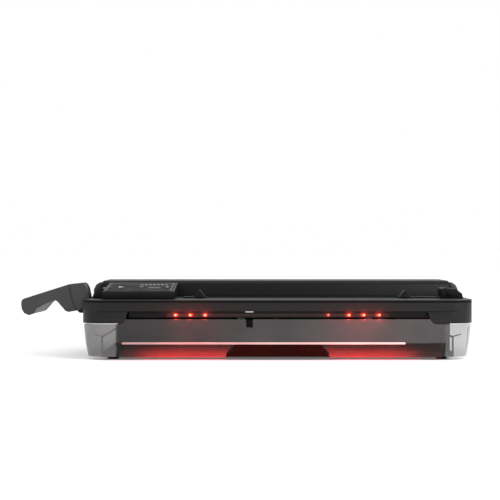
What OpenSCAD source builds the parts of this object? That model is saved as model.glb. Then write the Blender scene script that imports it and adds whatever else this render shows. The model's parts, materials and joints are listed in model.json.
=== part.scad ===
// Skate sharpener: a long low housing with a clamping slot, a grinding carriage inside,
// a drop-down front door, and a clamp lever at the left end.
// Millimetres, +Z up, front towards -Y. Floor at Z = 0.

/* [Housing] */
// Length of the deck
body_w = 640; // [600:10:700]
// Depth of the deck, front lip to rear face
body_d = 280; // [270:10:300]
// Height of the deck above the floor
deck_z = 98; // [97:1:99]
// Height of the front lip
lip_h = 18; // [16:1:19]
// Radius of the front corners in plan
corner_r = 38; // [30:1:44]
// Thickness of the deck shell
shell_t = 4; // [3.5:0.5:4.5]
// Height of the ridge above the deck
ridge_h = 27; // [25:1:30]

/* [Door] */
// Height of the door's top edge
door_top_z = 67; // [64:1:68]
// Height of the crease across the door
door_crease_z = 28; // [24:1:32]
// Thickness of the door's clear sheet
door_t = 3; // [2.5:0.5:3.5]

/* [Clamp] */
// Depth position of the clamping slot's centre
slot_y = -48; // [-49:1:-47]
// Gap between the closed jaws
blade_gap = 3; // [2.6:0.1:3.2]
// How far each jaw opens
jaw_travel = 3; // [2:0.5:3]
// How far the drawbar slides when the lever is lifted
draw_travel = 9; // [6:0.5:9]
// Angle that the lever lifts through, in degrees
lever_swing = 65; // [60:1:70]
// Width of the lever
lever_w = 40; // [38:1:42]

/* [Grinding carriage] */
// Radius of the grinding ring
ring_r = 25; // [20:1:26]
// Radius of the grinding motor
motor_r = 18; // [15:1:19]
// Radius of the guide rods
rod_r = 4; // [3:0.5:5]
// Running clearance of a pin in its bore
run_gap = 0.05; // [0.02:0.01:0.1]
// Clearance between parts that slide past each other
slide_gap = 0.3; // [0.3:0.05:0.5]

/* [Hidden] */
$fn = 48;
eps = 0.01;
// the deck is set off to the right, so that the lever and the deck together are centred
body_shift = 54.3;
half_w = body_w / 2;
front_y = -body_d / 2;
rear_y = body_d / 2;
rear_r = 20;
deck_low = deck_z - shell_t;
lip_z = deck_z - lip_h;
foot_h = 4;
floor_t = 3;
floor_z = foot_h + floor_t;
pan_half_w = 288.5;
pan_front = -116;
pan_rear = 138;
pan_z = 38;
pan_t = 2.5;
ramp_rear = -96;
ramp_z = 27;
wall_left_x = -262;
wall_right_x = 282;
wall_front_x = 270;
wall_jog_y = -88;
wall_t = 4;
slot_x0 = -158;
slot_x1 = 270;
slot_half = 14;
block_z = 60;
block_in_top = 243;
block_end = [[243, lip_z], [247.5, 64.5], [249.8, 61.6], [254, 60.2], [258, block_z]];
block_deep = 40;
ridge_front = 10;
ridge_half_w = 302;
ridge_z = deck_z + ridge_h;
ridge_t = 3;
pod_x0 = -288;
pod_x1 = -170;
pod_front = -108;
pod_nose_z = 111;
pod_tilt = 5.6;
panel_t = 1.6;
panel_x0 = pod_x0 + 4;
panel_x1 = pod_x1 - 4;
panel_len = 104;
key_y = 47;
key_r = 7;
key_proud = 0.8;
key_drop = 7;
key_xs = [-262, -228, -184];
led_xs = [-166, -142, -118, 82, 116, 140, 165];
led_z = 73.5;
fascia_y = front_y + 6;
fascia_t = 3;
bar_half = 180;
door_axis_y = -124;
door_axis_z = 10.5;
knuckle_r = 5;
hinge_pin_r = 3;
tab_x = -46;
door_rear_y = front_y + 46;
pivot_x = -348.5;
pivot_z = deck_z - 1;
lever_y0 = slot_y - lever_w / 2;
lever_y1 = slot_y + lever_w / 2;
hub_reach = 38;
notch_x = -309.5;
notch_y0 = lever_y0 - 1;
notch_y1 = lever_y1 + 1;
lever_pin_r = 4;
cam_rate = draw_travel / (lever_swing * PI / 180);
cam_r = 26;
rod_z = pivot_z - cam_rate + 0.5;
rod_y = -43.5;
draw_r = 3;
jaw_z = 73;
rail_z = 68;
rail_t = 4;
rail_w = 20;
rail_x1 = 262;
cross_x = -170;
jaw_x0 = -150;
jaw_x1 = 262;
rail_off = 40;
pin_xs = [-90, 90, 200];
stud_xs = [-120, 60, 230];
stud_off = 20;
jaw_pin_r = 3;
ring_z = 38;
rods_y = [45, 85];
rods_z = 25;
rods_half = 209;
arm_px = 40;
arm_pz = 28;
bush_r = 7;
arm_y0 = 10.5;
arm_y1 = 18.5;
belt_y = 65;
belt_z0 = 45;
belt_z1 = 51;
pulley_r = 6.4;
belt_t = 1.4;
drive_x = -225;
idler_x = 190;
blower_x = 245;
blower_y = 67;
blower_r = 31;
drawer_y0 = -69;
drawer_y1 = 9;
drawer_z0 = 40;
drawer_z1 = 66;
switch_y = rear_y - 7;
switch_z = deck_z + 13;
draw_tip_x = pivot_x + cam_r + 0.1;
collar_x = -296;
// the lever seen from the front, measured from its pivot
lever_points = [[-73.9, 1.1], [-0.9, 24.3], [23.5, 26.9], [27.4, 24.3], [30.6, 17.8], [33.6, 3.6], [31, -9],
  [20, -17.5], [11.3, -19.9], [-0.9, -21.9], [-5.9, -19.9], [-19.1, -4.6], [-21.8, -2.6], [-25.2, -2.1],
  [-32.4, -3.5], [-39.5, -6.7], [-56.7, -15.7], [-60.7, -24.9], [-66.9, -27.4], [-74.9, -23.9],
  [-79, -16.9], [-80.1, -6.8], [-78.5, -1.2]];
pad_points = [[-25.2, -2.1], [-32.4, -3.5], [-39.5, -6.7], [-56.7, -15.7], [-60.7, -24.9], [-43.5, -20.9],
  [-31.2, -6.6]];
crease_points = [[-1.3, 28], [1.8, 6.3], [5.9, -6.2], [11, -17], [16, -24], [19, -22], [13.6, -15], [8.7, -5],
  [4.7, 6.9], [1.6, 28]];

module at_body() {
  translate([body_shift, 0, 0]) children();
}

// a box from its low corner to its high corner
module span(low, high) {
  translate(low) cube(high - low);
}

// the plan of the housing, drawn in by an inset
module plan_outline(inset) {
  fr = corner_r - inset;
  rr = rear_r - inset;
  x = half_w - inset;
  y0 = front_y + inset;
  y1 = rear_y - inset;
  translate([-x, y0 + fr]) square([2 * x, y1 - y0 - fr - rr]);
  translate([-x + fr, y0]) square([2 * (x - fr), y1 - y0 - rr]);
  translate([-x + rr, y0 + fr]) square([2 * (x - rr), y1 - y0 - fr]);
  for (s = [-1, 1]) {
    translate([s * (x - fr), y0 + fr]) circle(fr);
    translate([s * (x - rr), y1 - rr]) circle(rr);
  }
}

// extrudes a profile drawn in Y and Z along X
module along_x(x0, x1) {
  translate([x0, 0, 0]) rotate([90, 0, 90]) linear_extrude(x1 - x0) children();
}

// extrudes a profile drawn in X and Z along Y
module along_y(y0, y1) {
  translate([0, y1, 0]) rotate([90, 0, 0]) linear_extrude(y1 - y0) children();
}

// a round bar along Y
module bar_y(x, z, r, y0, y1) {
  translate([x, y1, z]) rotate([90, 0, 0]) cylinder(r = r, h = y1 - y0);
}

// a round bar along X
module bar_x(y, z, r, x0, x1) {
  translate([x0, y, z]) rotate([0, 90, 0]) cylinder(r = r, h = x1 - x0);
}

// a flat slot with round ends, from a to b, cut through a height
module long_slot(a, b, r, z0, z1) {
  turn = atan2(b[1] - a[1], b[0] - a[0]);
  flat = r - 0.02;
  for (p = [a, b]) translate([p[0], p[1], z0]) cylinder(r = r, h = z1 - z0);
  translate([a[0], a[1], z0]) rotate([0, 0, turn])
    translate([0, -flat, 0]) cube([norm(b - a), 2 * flat, z1 - z0]);
}

// a coil spring standing on Z = 0
module coil(mean_r, wire_r, len, turns) {
  sides = 6;
  per_turn = 12;
  rings = turns * per_turn;
  rise = len - 2 * wire_r;
  points = [for (i = [0:rings], j = [0:sides - 1])
    let (a = 360 * i / per_turn, b = 360 * j / sides, r = mean_r + wire_r * cos(b))
    [r * cos(a), r * sin(a), wire_r + rise * i / rings + wire_r * sin(b)]];
  sheets = [for (i = [0:rings - 1], j = [0:sides - 1])
    let (k = (j + 1) % sides)
    [i * sides + j, (i + 1) * sides + j, (i + 1) * sides + k, i * sides + k]];
  caps = [[for (j = [0:sides - 1]) j], [for (j = [sides - 1:-1:0]) rings * sides + j]];
  polyhedron(points, concat(sheets, caps));
}

// the tab and the gusset at one front corner of the pan's side frame
module pan_corner(side) {
  wall_x = side < 0 ? -wall_left_x : wall_front_x + wall_t;
  x = pan_half_w;
  rise = 0.45 * (x - wall_x);
  along_y(pan_front, pan_front + 2.5) {
    polygon([[x - 2, pan_z - 1.6], [x + 12, pan_z + 2.6], [x + 12, pan_z + 4.2], [x - 2, pan_z]]);
    polygon([[x - 1, 10.5], [x - 1, 12.5], [wall_x, 12.5 + rise], [wall_x, 10.5 + rise]]);
  }
}

module base_pan() {
  color("#202023") at_body() {
    difference() {
      span([-pan_half_w, pan_front, foot_h], [pan_half_w, pan_rear, pan_z]);
      span([-pan_half_w + pan_t, pan_front + pan_t, floor_z],
        [pan_half_w - pan_t, pan_rear - pan_t, pan_z + 1]);
      span([-pan_half_w + pan_t, pan_front - 1, door_axis_z + 2.5],
        [pan_half_w - pan_t, pan_front + pan_t + 1, pan_z + 1]);
      span([-pan_half_w - 1, pan_front + 3, 11], [pan_half_w + 1, pan_rear - 4, pan_z - 2.6]);
    }
    for (s = [-1, 1]) mirror([s < 0 ? 1 : 0, 0, 0]) pan_corner(s);
    for (s = [-1, 1]) difference() {
      union() {
        bar_x(door_axis_y, door_axis_z, knuckle_r, s * 266 - 4, s * 266 + 4);
        span([s * 266 - 4, door_axis_y, foot_h + 1.5], [s * 266 + 4, pan_front + eps, door_axis_z + 4]);
      }
      bar_x(door_axis_y, door_axis_z, hinge_pin_r, s * 266 - 5, s * 266 + 5);
    }
    for (s = [-1, 1]) bar_x(door_axis_y, door_axis_z, hinge_pin_r, s * 270.5 - 8.5, s * 270.5 + 8.5);
  }
}

module feet() {
  foot_r = 9;
  color("#101010") at_body()
    for (x = [-270, 270], y = [-102, 112]) translate([x, y, 0]) cylinder(r = foot_r, h = foot_h);
}

module pan_screws() {
  color("#55565a") at_body()
    for (x = [-230, 0, 230], y = [-96, 122]) translate([x, y, 0]) difference() {
      translate([0, 0, foot_h - 1.6]) cylinder(r = 4, h = 1.6);
      translate([0, 0, foot_h - 2.6]) cylinder(r = 2, h = 1.8, $fn = 6);
    }
}

// the sloping plate behind the door, with an open bay in the middle
module dust_ramp() {
  y0 = pan_front + pan_t;
  color("#1c1c1f") at_body() difference() {
    along_x(wall_left_x + wall_t, wall_front_x)
      polygon([[y0, 13], [y0 + 14, ramp_z], [ramp_rear, ramp_z], [ramp_rear, ramp_z - 1.5],
        [y0 + 5.5, 13], [y0 + 5.5, floor_z], [y0, floor_z]]);
    along_y(pan_front, ramp_rear + 1)
      polygon([[-83, 12.5], [84, 12.5], [67, ramp_z + 1], [-68, ramp_z + 1]]);
  }
}

module chamber_wall_left() {
  color("#26262a") at_body() difference() {
    span([wall_left_x, pan_front + pan_t, floor_z], [wall_left_x + wall_t, pan_rear - pan_t, deck_low]);
    bar_x(rod_y, rod_z, draw_r + slide_gap, wall_left_x - 1, wall_left_x + wall_t + 1);
  }
}

module chamber_wall_right() {
  color("#26262a") at_body() difference() {
    union() {
      span([wall_right_x, wall_jog_y - wall_t, floor_z], [wall_right_x + wall_t, pan_rear - pan_t, deck_low]);
      span([wall_front_x, wall_jog_y - wall_t, floor_z], [wall_right_x + 1, wall_jog_y, deck_low]);
      span([wall_front_x, pan_front + pan_t, floor_z], [wall_front_x + wall_t, wall_jog_y, deck_low]);
    }
    span([wall_right_x - 1, drawer_y0 - slide_gap, drawer_z0 - slide_gap],
      [wall_right_x + wall_t + 1, drawer_y1 + slide_gap, drawer_z1 + slide_gap]);
  }
}

module rear_panel() {
  color("#222225") at_body() difference() {
    span([wall_left_x, pan_rear - pan_t, pan_z], [wall_right_x + wall_t, pan_rear - eps, lip_z]);
    for (i = [0:5]) span([256, pan_rear - pan_t - 1, 41 + 6 * i], [274, pan_rear + 1, 43.5 + 6 * i]);
  }
}

module top_cover() {
  color("#2c2c30") at_body() difference() {
    union() {
      difference() {
        translate([0, 0, lip_z]) linear_extrude(lip_h) plan_outline(0);
        translate([0, 0, lip_z - 1]) linear_extrude(deck_low - lip_z + 1) plan_outline(shell_t);
      }
      span([-half_w + 1, notch_y0 - shell_t, lip_z], [notch_x + shell_t, notch_y1 + shell_t, deck_z - 1]);
    }
    span([-half_w - 1, notch_y0, lip_z - 1], [notch_x, notch_y1, deck_z + 1]);
    span([slot_x0, slot_y - slot_half, deck_low - 1], [slot_x1, slot_y + slot_half, deck_z + 1]);
    bar_x(rod_y, rod_z, draw_r + slide_gap, -half_w - 1, notch_x + shell_t + 1);
  }
}

module ridge_profile(t) {
  polygon([[ridge_front + t, deck_z - (t > 0 ? 1 : 0)], [ridge_front + 6 + t, ridge_z - 5 - t / 2],
    [ridge_front + 14 + t / 2, ridge_z - t], [rear_y - 7 - t / 2, ridge_z - t],
    [rear_y - t, ridge_z - 7 - t / 2], [rear_y - t, deck_z - (t > 0 ? 1 : 0)]]);
}

module rear_ridge() {
  color("#1b1b1e") at_body() difference() {
    along_x(-ridge_half_w, ridge_half_w) ridge_profile(0);
    along_x(-ridge_half_w + ridge_t, ridge_half_w - ridge_t) ridge_profile(ridge_t);
    span([194, rear_y - 14, deck_z + 3], [224, rear_y + 1, deck_z + 23]);
    span([232, rear_y - 12, deck_z + 3.5], [250, rear_y + 1, deck_z + 22.5]);
  }
}

module ridge_cap() {
  cap_w = 16;
  along_y(ridge_front + 10, rear_y - 4)
    polygon([[ridge_half_w, deck_z], [ridge_half_w, ridge_z - 2], [ridge_half_w + 6, ridge_z - 3],
      [ridge_half_w + 12, ridge_z - 7], [ridge_half_w + cap_w, ridge_z - 15],
      [ridge_half_w + cap_w, deck_z]]);
}

module ridge_caps() {
  color("#4a4a4e") at_body() for (m = [0, 1]) mirror([m, 0, 0]) ridge_cap();
}

// an end stop of the slot, between two places along X
module slot_block(x0, x1) {
  block_h = 17.5;
  along_y(slot_y - 22, slot_y + 22)
    polygon([[x0, deck_z], [x0, deck_z + block_h - 1.5], [x0 + 4, deck_z + block_h],
      [x1 - 12, deck_z + block_h - 2], [x1 - 2, deck_z + 8], [x1, deck_z]]);
}

module slot_blocks() {
  color("#151517") at_body() {
    mirror([1, 0, 0]) slot_block(1 - pod_x0, -notch_x - 0.5);
    slot_block(276, 312);
    bar_y(290, deck_z + 9, 4.5, slot_y - 25, slot_y - 21);
  }
}

module corner_block() {
  block_t = 6;
  groove_x1 = 300;
  difference() {
    intersection() {
      translate([0, 0, block_z]) linear_extrude(lip_z - block_z) difference() {
        plan_outline(0);
        plan_outline(block_t);
      }
      along_y(front_y - 1, front_y + block_deep)
        polygon(concat(block_end, [[half_w + 1, block_z], [half_w + 1, lip_z]]));
    }
    span([block_in_top, front_y - 1, lip_z - 1.4], [groove_x1, front_y + 1.5, lip_z + 1]);
  }
}

module corner_blocks() {
  color("#1a1a1c") at_body() for (m = [0, 1]) mirror([m, 0, 0]) corner_block();
}

module status_fascia() {
  color("#141416") at_body() difference() {
    span([-block_in_top + 1, fascia_y, 69], [block_in_top - 1, fascia_y + fascia_t, deck_low]);
    span([-bar_half, fascia_y - 1, 71], [bar_half, fascia_y + fascia_t + 1, 76]);
  }
}

module status_light_bar() {
  color("#3a1214") at_body() span([-bar_half, fascia_y, 71], [bar_half, fascia_y + fascia_t, 76]);
}

module status_leds() {
  color("#ff3020") at_body()
    for (x = led_xs) bar_y(x, led_z, 2.2, fascia_y + fascia_t, fascia_y + fascia_t + 5);
}

module chamber_lights() {
  guide_y = pan_front - 2.5;
  color("#ff4a30") at_body() for (x = [[-228, -88], [90, 236]]) {
    span([x[0], guide_y, 8], [x[1], pan_front, 11.5]);
    for (i = [0:5]) bar_y(x[0] + 10 + 24 * i, 9.7, 1.2, guide_y - 0.6, guide_y + 1);
  }
}

// the tilted frame of the control panel: its origin is at the nose, Y runs up the slope
module on_panel() {
  at_body() translate([0, pod_front + 4, pod_nose_z]) rotate([pod_tilt, 0, 0]) children();
}

module control_pod() {
  pod_rise = (ridge_front - pod_front - 4) * tan(pod_tilt);
  color("#17171a") difference() {
    at_body() difference() {
      along_x(pod_x0, pod_x1) polygon([[pod_front, deck_z], [pod_front, pod_nose_z - 4],
        [pod_front + 4, pod_nose_z], [ridge_front - 0.5, pod_nose_z + pod_rise - 0.05],
        [ridge_front - 0.5, deck_z]]);
      along_x(pod_x0 + 3, pod_x1 - 3) polygon([[pod_front + 3, deck_z - 1], [pod_front + 3, pod_nose_z - 5],
        [pod_front + 6, pod_nose_z - 3], [ridge_front - 3.5, pod_nose_z + pod_rise - 3.3],
        [ridge_front - 3.5, deck_z - 1]]);
    }
    on_panel() translate([panel_x0, 3, -panel_t]) cube([panel_x1 - panel_x0, panel_len, 10]);
    on_panel() for (x = key_xs) translate([x, key_y, -10]) cylinder(r = key_r + 1.5, h = 20);
  }
}

module control_panel() {
  color("#3c3c40") on_panel() difference() {
    translate([panel_x0, 3, -panel_t]) cube([panel_x1 - panel_x0, panel_len, panel_t + 0.3]);
    for (x = key_xs) translate([x, key_y, -5]) cylinder(r = key_r + slide_gap, h = 10);
    translate([-216, key_y - 6, -0.7]) cube([20, 12, 5]);
  }
}

module display_window() {
  color("#0c0c10") on_panel() translate([-216, key_y - 6, -0.7]) cube([20, 12, 1]);
}

module key(x) {
  on_panel() {
    translate([x, key_y, -key_drop + 1.4]) cylinder(r = key_r, h = key_drop - 1.4 + 0.3 + key_proud);
    translate([x, key_y, -key_drop]) cylinder(r = 2.5, h = 2);
  }
}

module start_button() {
  color("#2a2a2d") key(key_xs[0]);
}

module minus_button() {
  color("#2a2a2d") key(key_xs[1]);
}

module plus_button() {
  color("#2a2a2d") key(key_xs[2]);
}

module control_board() {
  board_z = -10.4;
  color("#14512a") on_panel() {
    translate([panel_x0 + 4, 30, board_z]) cube([panel_x1 - panel_x0 - 8, 50, 1.6]);
    for (x = key_xs) translate([x - 3, key_y - 3, board_z + 1.6]) cube([6, 6, 0.3]);
    translate([-216, key_y - 6, board_z + 1.6]) cube([20, 12, 5]);
  }
}

module power_supply() {
  color("#9a9da1") at_body() {
    span([30, 40, deck_z], [170, 122, deck_z + 20]);
    for (i = [0:5]) span([44 + 20 * i, 48, deck_z + 20], [52 + 20 * i, 114, deck_z + 21.5]);
  }
}

module power_inlet() {
  color("#101012") at_body() {
    difference() {
      span([194, rear_y - 22, deck_z + 3], [224, rear_y - 0.4, deck_z + 23]);
      span([197, rear_y - 18, deck_z + 6], [221, rear_y + 1, deck_z + 20]);
    }
    for (x = [203, 209, 215]) span([x - 1, rear_y - 18 - eps, deck_z + 11], [x + 1, rear_y - 4, deck_z + 15]);
  }
}

module power_switch() {
  color("#8c1a16") at_body() translate([0, switch_y, switch_z]) {
    along_x(233.2, 248.8) polygon([[-4, -4], [6.4, -8], [6.6, 0], [4, 8], [-4, 4]]);
    bar_x(0, 0, 2.5, 232.3, 249.7);
  }
}

module lever_bracket() {
  y0 = lever_y0 + 11.5;
  y1 = y0 + 8;
  color("#161618") at_body() difference() {
    union() {
      along_y(y0, y1) polygon([[notch_x, deck_low], [notch_x, 76], [-half_w - 2, 72.6], [-half_w - 12, 73.2],
        [-half_w - 16.5, 77], [pivot_x + 2, pivot_z - 10.8], [pivot_x, pivot_z], [pivot_x + 4, pivot_z + 9]]);
      bar_y(pivot_x, pivot_z, 11, y0, y1);
    }
    bar_y(pivot_x, pivot_z, lever_pin_r, lever_y0, lever_y1);
  }
}

module lever_pin() {
  color("#b8babd") at_body() bar_y(pivot_x, pivot_z, lever_pin_r, lever_y0 + 3, lever_y1 - 3);
}

// a point of the cam's edge: its reach to the drawbar's flat end falls evenly as the lever lifts
function cam_point(turn) =
  let (h = cam_r - cam_rate * turn * PI / 180)
  [h * cos(turn) + cam_rate * sin(turn), h * sin(turn) - cam_rate * cos(turn)];

module cam_outline() {
  cam_hub = 13;
  translate([pivot_x, pivot_z]) {
    circle(cam_hub);
    polygon(concat([[0, 0]], [for (i = [-5:3:lever_swing + 6]) cam_point(i)]));
  }
}

module clamp_lever() {
  color("#45464a") at_body() {
    difference() {
      union() {
        difference() {
          along_y(lever_y0, lever_y1) translate([pivot_x, pivot_z]) polygon(lever_points);
          bar_y(pivot_x, pivot_z, hub_reach + 2, lever_y0 + 11, lever_y1 - 11);
          along_y(lever_y0 - 1, lever_y0 + 1.6) translate([pivot_x, pivot_z]) polygon(crease_points);
        }
        along_y(lever_y0 + 20, lever_y1 - 11) cam_outline();
      }
      bar_y(pivot_x, pivot_z, lever_pin_r + run_gap, lever_y0 + 3 - slide_gap, lever_y1 - 3 + slide_gap);
    }
  }
}

module lever_grip_pad() {
  color("#b9babd") at_body() along_y(lever_y0 + 3, lever_y1 - 3)
    translate([pivot_x, pivot_z]) polygon(pad_points);
}

// a slotted rail under one jaw; side is -1 at the front and 1 at the rear
module cam_rail(side) {
  y = slot_y + side * rail_off;
  difference() {
    span([cross_x + 4, y - rail_w / 2, rail_z], [rail_x1, y + rail_w / 2, rail_z + rail_t]);
    for (x = pin_xs) long_slot([x, y], [x + draw_travel, y + side * jaw_travel], jaw_pin_r + 0.1,
      rail_z - 1, rail_z + rail_t + 1);
  }
}

module drawbar() {
  color("#a6a8ab") at_body() {
    bar_x(rod_y, rod_z, draw_r, draw_tip_x, cross_x + 1);
    bar_x(rod_y, rod_z, 4.1, collar_x, collar_x + 3);
    span([cross_x, slot_y - rail_off - rail_w / 2, rail_z],
      [cross_x + 6, slot_y + rail_off + rail_w / 2, deck_low - 1]);
    for (s = [-1, 1]) cam_rail(s);
  }
}

module drawbar_spring() {
  x0 = collar_x + 3.1;
  color("#cfd0d2") at_body() translate([x0, rod_y, rod_z]) rotate([0, 90, 0])
    coil(3.65, 0.45, wall_left_x - x0 - 0.1, 9);
}

// one jaw; side is -1 at the front and 1 at the rear
module jaw(side) {
  face = slot_y + side * blade_gap / 2;
  pin_y = slot_y + side * rail_off;
  stud_y = slot_y + side * stud_off;
  plate = 44.5;
  difference() {
    union() {
      span([jaw_x0, min(face, face + side * plate), jaw_z],
        [jaw_x1, max(face, face + side * plate), jaw_z + 10]);
      span([jaw_x0, min(face, face + side * 8), jaw_z + 9],
        [jaw_x1, max(face, face + side * 8), deck_low - 1.5]);
    }
    for (x = stud_xs) long_slot([x, stud_y], [x, stud_y - side * jaw_travel], 3 + 0.2, jaw_z - 1, jaw_z + 11);
  }
  for (x = pin_xs) translate([x, pin_y, rail_z - 1.5]) cylinder(r = jaw_pin_r, h = jaw_z - rail_z + 2);
}

module jaw_front() {
  color("#8d9094") at_body() jaw(-1);
}

module jaw_rear() {
  color("#8d9094") at_body() jaw(1);
}

module jaw_studs() {
  color("#5a5c60") at_body() for (x = stud_xs, s = [-1, 1]) translate([x, slot_y + s * stud_off, 0]) {
    translate([0, 0, jaw_z - 3.5]) cylinder(r = 5.5, h = 3.5 - slide_gap);
    translate([0, 0, jaw_z - 1]) cylinder(r = 3, h = deck_low - jaw_z + 1);
    translate([0, 0, jaw_z + 10 + slide_gap]) cylinder(r = 4.6, h = deck_low - jaw_z - 10 - slide_gap);
  }
}

module rail_hangers() {
  reach = rail_off + rail_w / 2 + slide_gap;
  color("#3a3b3f") at_body() for (x = [-60, 150], s = [-1, 1]) along_x(x - 6, x + 6)
    translate([slot_y, 0]) scale([s, 1]) polygon([[reach, deck_low], [reach, rail_z - slide_gap],
      [reach - 9, rail_z - slide_gap], [reach - 9, rail_z - 3.5], [reach + 5, rail_z - 3.5],
      [reach + 5, deck_low]]);
}

module guide_rods() {
  color("#c8cacd") at_body() for (y = rods_y) bar_x(y, rods_z, rod_r, -rods_half, rods_half);
}

module rod_brackets() {
  color("#2f3034") at_body() for (s = [-1, 1]) difference() {
    span([s * 207 - 4, 36, floor_z], [s * 207 + 4, 94, pan_z]);
    for (y = rods_y) bar_x(y, rods_z, rod_r, s * 207 - 5, s * 207 + 5);
  }
}

module carriage() {
  body_half = 42;
  fork_x0 = arm_px - 7;
  fork_x1 = arm_px + 7;
  shelf_z = 10;
  shelf_t = 3;
  color("#3b3d42") at_body() difference() {
    union() {
      span([-body_half, 33, 14], [body_half, 97, 36]);
      span([-10, 67.5, 35], [10, 78, 54]);
      span([14, 5, shelf_z], [fork_x1, 34, shelf_z + shelf_t]);
      span([fork_x0, 5, shelf_z], [fork_x1, arm_y0 - slide_gap, arm_pz + 6]);
      span([fork_x0, arm_y1 + slide_gap, shelf_z], [fork_x1, 34, arm_pz + 6]);
    }
    for (y = rods_y) {
      bar_x(y, rods_z, rod_r + 1, -body_half - 1, body_half + 1);
      for (s = [-1, 1]) bar_x(y, rods_z, bush_r, s * (body_half - 9) - 10, s * (body_half - 9) + 10);
    }
    span([-11, belt_y + 6, belt_z0 - slide_gap],
      [11, belt_y + 6.5 + belt_t + slide_gap, belt_z1 + slide_gap]);
    bar_y(arm_px, arm_pz, 3, 4, 33);
  }
}

module carriage_bushes() {
  color("#b08d4a") at_body() for (y = rods_y, s = [-1, 1]) difference() {
    bar_x(y, rods_z, bush_r, s * 33 - 9, s * 33 + 9);
    bar_x(y, rods_z, rod_r + run_gap, s * 33 - 11, s * 33 + 11);
  }
}

module motor_arm() {
  cup_r = motor_r + 3;
  color("#4b4d52") at_body() difference() {
    union() {
      bar_y(0, ring_z, cup_r, -8, arm_y1);
      along_y(arm_y0, arm_y1) union() {
        translate([arm_px, arm_pz]) circle(6.5);
        polygon([[6, 56], [arm_px + 2, arm_pz + 6], [arm_px, arm_pz - 6], [18, 25], [8, 25]]);
      }
    }
    bar_y(0, ring_z, motor_r, -9, arm_y0);
    bar_y(arm_px, arm_pz, 3 + run_gap, 0, 33);
  }
}

module arm_pin() {
  color("#c0c2c5") at_body() bar_y(arm_px, arm_pz, 3, 5, 32.5);
}

module arm_spring() {
  color("#cfd0d2") at_body() translate([23, 14.5, 13.1]) coil(3, 0.6, 10.4, 5);
}

module grinding_motor() {
  color("#7d8085") at_body() difference() {
    union() {
      bar_y(0, ring_z, motor_r, -34, arm_y0);
      bar_y(0, ring_z, 8, -37, -34);
    }
    bar_y(0, ring_z, 4 + run_gap, -38, -19);
  }
}

module spindle() {
  color("#b4b6b9") at_body() {
    bar_y(0, ring_z, 4, -59, -20);
    bar_y(0, ring_z, 12, slot_y + 3, -41);
    bar_y(0, ring_z, 10, slot_y - 3, slot_y + 3);
  }
}

module grinding_ring() {
  color("#8a6f50") at_body() difference() {
    bar_y(0, ring_z, ring_r, slot_y - 3, slot_y + 3);
    bar_y(0, ring_z, 10, slot_y - 4, slot_y + 4);
  }
}

module ring_nut() {
  grips = 12;
  color("#1d1d20") at_body() difference() {
    bar_y(0, ring_z, 14, slot_y - 9, slot_y - 3);
    bar_y(0, ring_z, 4, slot_y - 10, slot_y - 2);
    for (i = [0:grips - 1]) translate([0, 0, ring_z]) rotate([0, 360 / grips * i, 0])
      bar_y(15, 0, 1.8, slot_y - 10, slot_y - 2);
  }
}

module stepper_motor() {
  half = 21;
  color("#303236") at_body() {
    span([drive_x - half, belt_y - half, 58], [drive_x + half, belt_y + half, deck_low]);
    translate([drive_x, belt_y, 55.5]) cylinder(r = 11, h = 2.6);
    translate([drive_x, belt_y, 42]) cylinder(r = 2.5, h = 15);
  }
}

module pulley(x) {
  flange_r = 8.6;
  translate([x, belt_y, 0]) difference() {
    union() {
      translate([0, 0, belt_z0 - 1.2]) cylinder(r = pulley_r, h = belt_z1 - belt_z0 + 2.4);
      translate([0, 0, belt_z0 - 1.2]) cylinder(r = flange_r, h = 0.9);
      translate([0, 0, belt_z1 + 0.3]) cylinder(r = flange_r, h = 0.9);
    }
    translate([0, 0, belt_z0 - 5]) cylinder(r = 2.5 + run_gap, h = 20);
  }
}

module drive_pulley() {
  color("#c9cbce") at_body() pulley(drive_x);
}

module idler_pulley() {
  color("#c9cbce") at_body() pulley(idler_x);
}

module idler_pin() {
  color("#6f7276") at_body() translate([idler_x, belt_y, 0]) {
    translate([0, 0, 42]) cylinder(r = 2.5, h = deck_low - 42);
    translate([0, 0, belt_z1 + 3]) cylinder(r = 7, h = deck_low - belt_z1 - 3);
  }
}

module belt_loop(r) {
  for (x = [drive_x, idler_x]) translate([x, belt_y]) circle(r);
  translate([drive_x, belt_y - r]) square([idler_x - drive_x, 2 * r]);
}

module drive_belt() {
  inner = pulley_r + 0.1;
  color("#0f0f10") at_body() translate([0, 0, belt_z0]) linear_extrude(belt_z1 - belt_z0) difference() {
    belt_loop(inner + belt_t);
    belt_loop(inner);
  }
}

module blower_housing() {
  wall = 2.5;
  duct_x = 256;
  color("#1e1f22") at_body() difference() {
    union() {
      translate([blower_x, blower_y, floor_z]) cylinder(r = blower_r, h = 48);
      span([duct_x - wall, blower_y, floor_z + 25],
        [blower_x + blower_r - 0.5, pan_rear - pan_t, floor_z + 48]);
    }
    difference() {
      translate([blower_x, blower_y, floor_z + wall]) cylinder(r = blower_r - wall, h = 43);
      translate([blower_x, blower_y, 0]) cylinder(r = 3, h = 50);
    }
    translate([blower_x, blower_y, floor_z + 40]) cylinder(r = 17, h = 20);
    span([duct_x, blower_y + 5, floor_z + 27.5], [blower_x + blower_r - 3, pan_rear, floor_z + 45.5]);
  }
}

module blower_impeller() {
  blades = 20;
  z0 = floor_z + 6;
  color("#5b5d61") at_body() translate([blower_x, blower_y, z0]) difference() {
    union() {
      cylinder(r = 26, h = 2);
      cylinder(r = 8, h = 32);
      for (i = [0:blades - 1]) rotate([0, 0, 360 / blades * i]) translate([19, -0.6, 1]) cube([6.5, 1.2, 31]);
      translate([0, 0, 32]) difference() {
        cylinder(r = 26, h = 1.5);
        translate([0, 0, -1]) cylinder(r = 18.5, h = 4);
      }
    }
    translate([0, 0, -1]) cylinder(r = 3 + run_gap, h = 50);
  }
}

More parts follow.
